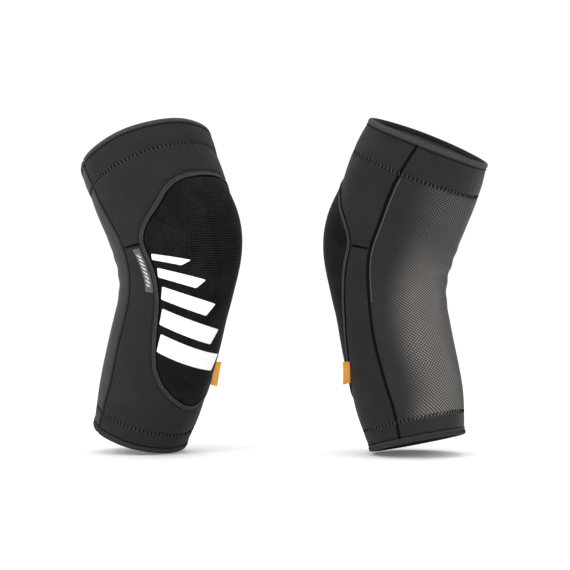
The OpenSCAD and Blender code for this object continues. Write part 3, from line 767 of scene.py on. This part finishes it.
def opening(guard, end, cuff, tuck, edge, sign):
    """A hem folded from tuck to edge, its stitching, the elastic, its beads and the zigzag at cuff."""
    side = guard["side"] + "_"
    # across() points down on a ring that runs towards the wearer's left
    profile = [(-sign * a, h) for a, h in HEM_FOLD]
    fold = band(side + end + "_hem_fold", guard, ring_path(tuck), profile, "hem_fabric", closed=True)
    keep(guard, end + "_hem", fold)
    per = float(metric(edge))
    count = int(round(360 * per / 1.7))
    u = np.arange(count) * 360 / count
    starts = np.stack([u, np.full(count, tuck + sign * 0.9 / LENGTH)], 1)
    ends = np.stack([u + 1.5 / per, np.full(count, edge - sign * 0.5 / LENGTH)], 1)
    name = side + end + "_hem_overlock"
    # the thigh hem's overlock is pale as a painted highlight along the opening's rim; the shin hem's keeps
    # the hem cloth's colour
    look = GLINT if end == "thigh" else None
    made[name] = stitches(name, guard, starts, ends, 0.55, 0.26, "hem_fabric", 0.18, look)
    # the topstitch row beside the hem's fold is near-black: dark thread and painted shade of the crease at
    # the tuck
    starts, ends = walk(ring_path(tuck - sign * 0.9 / LENGTH), 2.6, 0.3)
    name = side + end + "_hem_topstitch"
    made[name] = stitches(name, guard, starts, ends, 0.1, 0.42, "thread", 0.12)
    keep(guard, end + "_elastic", elastic(side + end + "_elastic_rib", guard, cuff, tuck, sign))
    keep(guard, end + "_grip", grips(side + end + "_grip_beads", guard, end == "thigh"))
    count = 2 * int(round(360 * float(metric(cuff)) / 1.9 / 2))
    u = np.arange(count + 1) * 360 / count
    turns = np.where(np.arange(count + 1) % 2, 1, -1)
    a = np.stack([u, cuff + turns * 2.0 / LENGTH], 1)
    # the zigzag's stitches one way are near-black thread, partly painted shade; those that run back are pale
    row = stitches(side + end + "_zigzag", guard, a[:-1:2], a[1::2], 0.25, 0.34, "thread", 0.15)
    keep(guard, end + "_stitch", row)
    # the stitches that run back are pale as painted glints
    name = side + end + "_zigzag_back"
    made[side + end + "_stitch_back"] = stitches(
        name, guard, a[1:-1:2], a[2::2], 0.2, 0.2, "thread", 0.12, GLINT)


def seams(guard, name, s):
    """The rear seam and the level seam on one side: s is 1 on the wearer's left."""
    side = guard["side"] + "_"
    v = np.linspace(HEM + 0.001, 1 - HEM - 0.001, 240)
    path = np.stack([s * seam_angle(v), v], 1)
    # on the tag side the rear seam's strip is near-black as painted shade of the seam's groove; on the label
    # side it keeps a dark thread colour without that shade
    look = None if name == "tag" else SOFT
    strip = band(side + name + "_rear_seam_strip", guard, path, REAR_STRIP, "seam_thread", material=look)
    keep(guard, name + "_rear_seam", strip)
    count = 2 * int(270 / 1.5 / 2)
    vv = np.linspace(v[0], v[-1], count + 1)
    wave = np.where(np.arange(count + 1) % 2, 1, -1) * 1.7 / metric(vv)
    a = np.stack([s * seam_angle(vv) + wave, vv], 1)
    row = side + name + "_rear_seam_thread"
    made[row] = stitches(row, guard, a[:-1], a[1:], 0.25, 0.15, "seam_thread", 0.08, SOFT)
    if name == "tag":
        # a pale ridge beside the tag-side rear seam, from the knee up to the thigh cuff, is a painted
        # highlight along the mesh's folded edge
        v = np.linspace(0.46, THIGH_CUFF - 0.012, 120)
        path = np.stack([s * (seam_angle(v) + 2.9 / metric(v)), v], 1)
        row = side + name + "_rear_seam_line"
        made[row] = band(row, guard, path, REAR_LINE, "seam_thread", material=GLINT)
    start = s * (cover_half(SIDE_SEAM) + 2.7 / metric(SIDE_SEAM))
    stop = s * (seam_angle(SIDE_SEAM) - 2.7 / metric(SIDE_SEAM))
    path = line((start, SIDE_SEAM), (stop, SIDE_SEAM), 24)
    # the level seam's strip is near-black: dark thread and painted shade of the seam's groove
    strip = band(side + name + "_side_seam_strip", guard, path, SIDE_STRIP, "seam_thread")
    keep(guard, name + "_side_seam", strip)


def cover(name, guard, p):
    """Rings that end on a line; the line's points are shared by its two sides."""
    rows, cols = p.shape[:2]
    outer = point(guard, p[..., 0], p[..., 1], 0)
    inner = point(guard, p[..., 0], p[..., 1], -FABRIC)
    uu, vv = (np.concatenate([p[..., k], p[:, :1, k]], 1) for k in (0, 1))
    o = shell(name, outer, inner, np.stack([uu * metric(vv), vv * LENGTH], -1), "cover_fabric", loop=True)
    bm = bmesh.new()
    bm.from_mesh(o.data)
    # along the line, shell() also drew a wall inside the cloth, between its faces; it goes
    n = rows * cols
    line_verts = set(range((rows - 1) * cols, n)) | set(range(n + (rows - 1) * cols, 2 * n))
    bm.verts.ensure_lookup_table()
    gone = [f for f in bm.faces if all(v.index in line_verts for v in f.verts)]
    bmesh.ops.delete(bm, geom=gone, context="FACES_ONLY")
    ends = [v for v in bm.verts if v.index in line_verts]
    bmesh.ops.remove_doubles(bm, verts=ends, dist=2e-5)
    bmesh.ops.recalc_face_normals(bm, faces=bm.faces)
    bm.to_mesh(o.data)
    bm.free()
    return o


def patch(low, high, half, rows, cols):
    """A grid of (u, v) behind the cover, and how near its rim each point is, from 0 to 1."""
    v = np.linspace(low, high, rows)[:, None] * np.ones((1, cols))
    i = np.sin(np.linspace(-math.pi / 2, math.pi / 2, cols))[None]
    return half(v) * i, v, np.maximum(np.abs(i), np.abs(2 * (v - low) / (high - low) - 1))


def pad(name, guard):
    """The moulded pad, crowned and rounded at its edge, between the cover and the lining."""
    u, v, off = patch(0.232, 0.743, lambda v: (cover_half(v) - 14) * 0.92, 70, 60)
    cells = 0.5 * np.maximum(0, np.cos(v * LENGTH / 11 * 2 * math.pi) * np.cos(np.radians(u) * 28))
    round_off = np.sqrt(np.clip(1 - np.clip((off - RIM_FROM) / (1 - RIM_FROM), 0, 1) ** 2, 0, 1))
    crown = (0.55 + 0.45 * smooth(1.4 - 1.4 * off)) * (0.25 + 0.75 * round_off)
    outer, inner = (point(guard, u, v, x) for x in (-FABRIC - 1.2, -FABRIC - 1.2 - (10 - cells) * crown))
    return shell(name, outer, inner, np.stack([u * metric(v), v * LENGTH], -1), "pad_foam")


def lining(name, guard):
    """The knit behind the pad; its rim curves out to the cover, which closes the pocket."""
    u, v, off = patch(0.2, 0.77, lambda v: np.maximum(3, cover_half(v) - 8), 90, 80)
    raised = -FABRIC - 12.4 + 11.5 * smooth((off - RIM_FROM) / (1 - RIM_FROM))
    outer, inner = (point(guard, u, v, raised + x) for x in (0.4, -0.4))
    return shell(name, outer, inner, np.stack([u * metric(v), v * LENGTH], -1), "lining_fabric")


# each bar: its height on the sleeve, half its width, and the angle where it ends
BARS = [(0.6, 0.008, -36), (0.558, 0.012, -22), (0.505, 0.017, -7), (0.442, 0.022, 8),
        (0.368, 0.027, 22)]


def bars(name, guard):
    """A plain print of five slanted bars with rounded corners."""
    co, faces, uvs = [], [], []
    for at, half, stop in BARS:
        start = -(float(cover_half(at)) - 3.2 / float(metric(at)) - 1.5)
        rows, cols = 13, 70
        s = np.linspace(0, 1, cols)[None] * np.ones((rows, 1))
        t = np.linspace(-1, 1, rows)[:, None] * np.ones((1, cols))
        long = (stop - start) * float(metric(at))
        corner = np.clip(1 - np.minimum(s, 1 - s) * long / 1.2, 0, 1)
        t = t * (1 - 0.35 * (1 - np.sqrt(1 - corner**2)) / (half * LENGTH / 1.6))
        u = start + (stop + t * 4 - start) * s
        v = at + t * half - 0.0006 * (u - start)
        base = sum(len(c) for c in co)
        n = rows * cols
        co.append(np.concatenate([point(guard, u, v, x).reshape(-1, 3) for x in (0.28, -0.1)]))
        quads, corners = grid_faces(rows, cols, False)
        uv = np.stack([u * metric(v), v * LENGTH], -1)
        flat = uv[corners[..., 0], corners[..., 1]]
        faces += [*(quads + base), *(quads[:, ::-1] + n + base)]
        uvs += [*flat, *flat[:, ::-1]]
        rim = [(0, j) for j in range(cols)] + [(i, cols - 1) for i in range(1, rows)]
        rim += [(rows - 1, j) for j in range(cols - 2, -1, -1)] + [(i, 0) for i in range(rows - 2, 0, -1)]
        for p, q in zip(rim, rim[1:] + rim[:1]):
            a, b = base + p[0] * cols + p[1], base + q[0] * cols + q[1]
            faces.append((a, b, b + n, a + n))
            uvs.append([uv[p], uv[q], uv[q], uv[p]])
    return piece(name, np.concatenate(co), faces, uvs, "print_white")


def elastic(name, guard, cuff, tuck, sign):
    """A ribbed band inside the cuff; the ribs lean."""
    count, rows = 720, 12
    t = np.linspace(0, 1, rows)[:, None] * np.ones((1, count))
    v = cuff + (tuck - sign * 0.2 / LENGTH - cuff) * t
    u = np.arange(count)[None] * 360 / count * np.ones((rows, 1))
    rib = 0.28 * np.cos(np.radians(u) * 120 + t * 9 * sign)
    flat = 1 - np.clip((np.abs(t - 0.5) - 0.42) / 0.08, 0, 1) ** 2
    outer = point(guard, u, v, -FABRIC - 0.3)
    inner = point(guard, u, v, -FABRIC - 1.2 + rib * flat * 0.9 + 0.35 * (1 - flat))
    uu = np.concatenate([u, u[:, :1] + 360], 1)
    vv = np.concatenate([v, v[:, :1]], 1)
    return shell(name, outer, inner, np.stack([uu * metric(vv), vv * LENGTH], -1), "elastic_band", loop=True)


def grips(name, guard, top):
    """Three wavy silicone beads round the inside of the elastic."""
    first = 1 - (31 - 8) / LENGTH if top else 6.4 / LENGTH
    co, faces, uvs = [], [], []
    count = 420
    pitch = 4.4
    for k in range(3):
        at = first + (k * pitch + 1.5) / LENGTH
        u = np.arange(count) * 360 / count
        v = at + 0.45 * np.sin(np.radians(u) * 60 + k * 2) / LENGTH
        path = np.stack([u, v], 1)
        angle = np.arange(8) * math.pi / 7
        profile = np.stack([1.35 * np.cos(angle), -FABRIC - 1.25 - 0.85 * np.sin(angle)], 1)
        profile = np.vstack([profile, [[-1.35, -FABRIC - 0.9], [1.35, -FABRIC - 0.9]]])
        side = across(path, True)
        p = path[:, None] + profile[None, :, :1] * side[:, None]
        ring = point(guard, p[..., 0], p[..., 1], profile[None, :, 1])
        quads, corner = grid_faces(count + 1, len(profile), True)
        base = sum(len(c) for c in co)
        co.append(ring.reshape(-1, 3))
        faces += [*(quads % (count * len(profile)) + base)]
        uvs += [*np.stack([corner[..., 0] * 0.9, corner[..., 1] * 0.7], -1)]
    return piece(name, np.concatenate(co), faces, uvs, "grip_silicone")


def label(name, guard):
    """A woven label, sewn flat at its rims and a little raised in the middle."""
    wide, tall = LABEL_SIZE
    rows, cols = 60, 22
    top = SIDE_SEAM - 3.5 / LENGTH
    v = np.linspace(top - tall / LENGTH, top, rows)[:, None] * np.ones((1, cols))
    near = -(cover_half(v) + 3.7 / metric(v))
    s = np.linspace(0, 1, cols)[None] * np.ones((rows, 1))
    u = near - (1 - s) * wide / metric(v)
    t = np.linspace(0, 1, rows)[:, None]
    crown = 0.35 * np.minimum(1, np.minimum(s, 1 - s) * 6) * np.minimum(1, np.minimum(t, 1 - t) * 14)
    out = 0.55 + crown
    outer, inner = point(guard, u, v, out), point(guard, u, v, 0.1)
    uv = np.stack([(s - 0.5) * wide, (t - 0.5) * tall * np.ones((1, cols))], -1)
    return shell(name, outer, inner, uv, "label_fabric")


def tag(name, guard):
    """A ribbon folded into a flat loop that stands out from the cover's edge."""
    rows, turn = 24, 13
    t = np.linspace(-1, 1, rows)
    fold = np.linspace(-math.pi / 2, math.pi / 2, turn)
    reach, gap, thick = 7.4, 0.32, 0.4
    half, turn_at = 9.0, reach - 0.7
    there, back = np.linspace(0.1, turn_at, 9), np.linspace(turn_at, 0.1, 9)
    lines = []
    for off in (gap + thick, gap):
        points = [(s, -off) for s in there]
        points += [(turn_at + off * math.cos(a), off * math.sin(a)) for a in fold[1:-1]]
        points += [(s, off) for s in back]
        lines.append(np.array(points))
    grids = []
    for points in lines:
        out, aside = points[:, 0][None], points[:, 1][None]
        curl = 1.1 * (out / reach) ** 2 * (1 + 0.25 * t[:, None])
        pinch = 1 - 0.55 * np.exp(-out / 1.2)
        v = TAG_AT + t[:, None] * (half + 0.5 * out / reach) / LENGTH
        u = cover_half(v) + (4.2 + aside * pinch + curl) / metric(v)
        grids.append((bare(guard, u, v, out + 0.35 + 0 * v) + guard["at"]) / 1000)
    run = distances(lines[0])
    away = np.minimum(run, run[-1] - run) - 3.7
    uv = np.stack([away[None] * np.ones((rows, 1)), t[:, None] * half * np.ones((1, len(run)))], -1)
    return shell(name, grids[0], grids[1], uv, "tag_fabric")


for guard in GUARDS:
    build(guard)

# ---------- what each piece rides on ----------

for guard in GUARDS:
    side = guard["side"]
    ring = np.arange(0, 360, 5.0)
    top = float(point(guard, ring, THIGH_CUFF - 3 / LENGTH)[:, 2].min())
    foot = float(point(guard, ring, 0.32)[:, 2].mean())
    x, y = (float(c) for c in point(guard, ring, 0.6)[:, :2].mean(0))
    for key, o in made.items():
        if not key.startswith(side):
            continue
        rest = key[len(side) + 1:]
        if rest.startswith("thigh_"):
            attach(o, side + "_thigh")
        elif rest.startswith("shin_") or rest == "tag":
            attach(o, side + "_shin")
        else:
            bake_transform(o)

for guard in GUARDS:
    side = guard["side"] + "_"

# ---------- floor, light and camera ----------

floor_mesh = bpy.data.meshes.new("floor")
floor_mesh.from_pydata([(-6, -6, 0), (6, -6, 0), (6, 6, 0), (-6, 6, 0)], [], [(0, 1, 2, 3)])
floor = bpy.data.objects.new("floor", floor_mesh)
floor.location.z = -0.0005
bpy.context.scene.collection.objects.link(floor)
pale = bpy.data.materials.new("pale_floor")
pale.use_nodes = True
pale.node_tree.nodes["Principled BSDF"].inputs["Base Color"].default_value = (0.965, 0.965, 0.965, 1)
pale.node_tree.nodes["Principled BSDF"].inputs["Roughness"].default_value = 0.9
floor_mesh.materials.append(pale)

world = bpy.data.worlds.new("studio")
world.use_nodes = True
world.node_tree.nodes["Background"].inputs["Color"].default_value = (1, 1, 1, 1)
world.node_tree.nodes["Background"].inputs["Strength"].default_value = 1.04
bpy.context.scene.world = world
bpy.context.scene.view_settings.view_transform = "Standard"


def lamp(name, place, aim, size, power, color=(1, 1, 1)):
    data = bpy.data.lights.new(name, "AREA")
    data.shape, data.size, data.energy, data.color = "DISK", size, power, color
    o = bpy.data.objects.new(name, data)
    o.location = place
    o.visible_camera = False
    o.rotation_euler = (Vector(aim) - Vector(place)).to_track_quat("-Z", "Y").to_euler()
    bpy.context.scene.collection.objects.link(o)


lamp("key", (-1.1, -1.3, 1.2), (0, 0, 0.16), 1.0, 13)
lamp("side", (1.4, -0.5, 0.7), (0, 0, 0.16), 0.7, 5, (1.0, 0.93, 0.86))
lamp("top", (0.1, 0.3, 1.7), (0, 0, 0.15), 1.4, 8)
lamp("low", (-1.0, -1.0, 0.12), (-0.1, 0, 0.08), 0.5, 3.2, (1.0, 0.94, 0.89))

camera = bpy.data.cameras.new("camera")
camera.lens, camera.sensor_width = 103.6, 36
camera_object = bpy.data.objects.new("camera", camera)
camera_object.location = (0.0024, -1.4895, 0.1522)
camera_object.rotation_euler = (math.pi / 2, 0, 0)
bpy.context.scene.collection.objects.link(camera_object)
bpy.context.scene.camera = camera_object
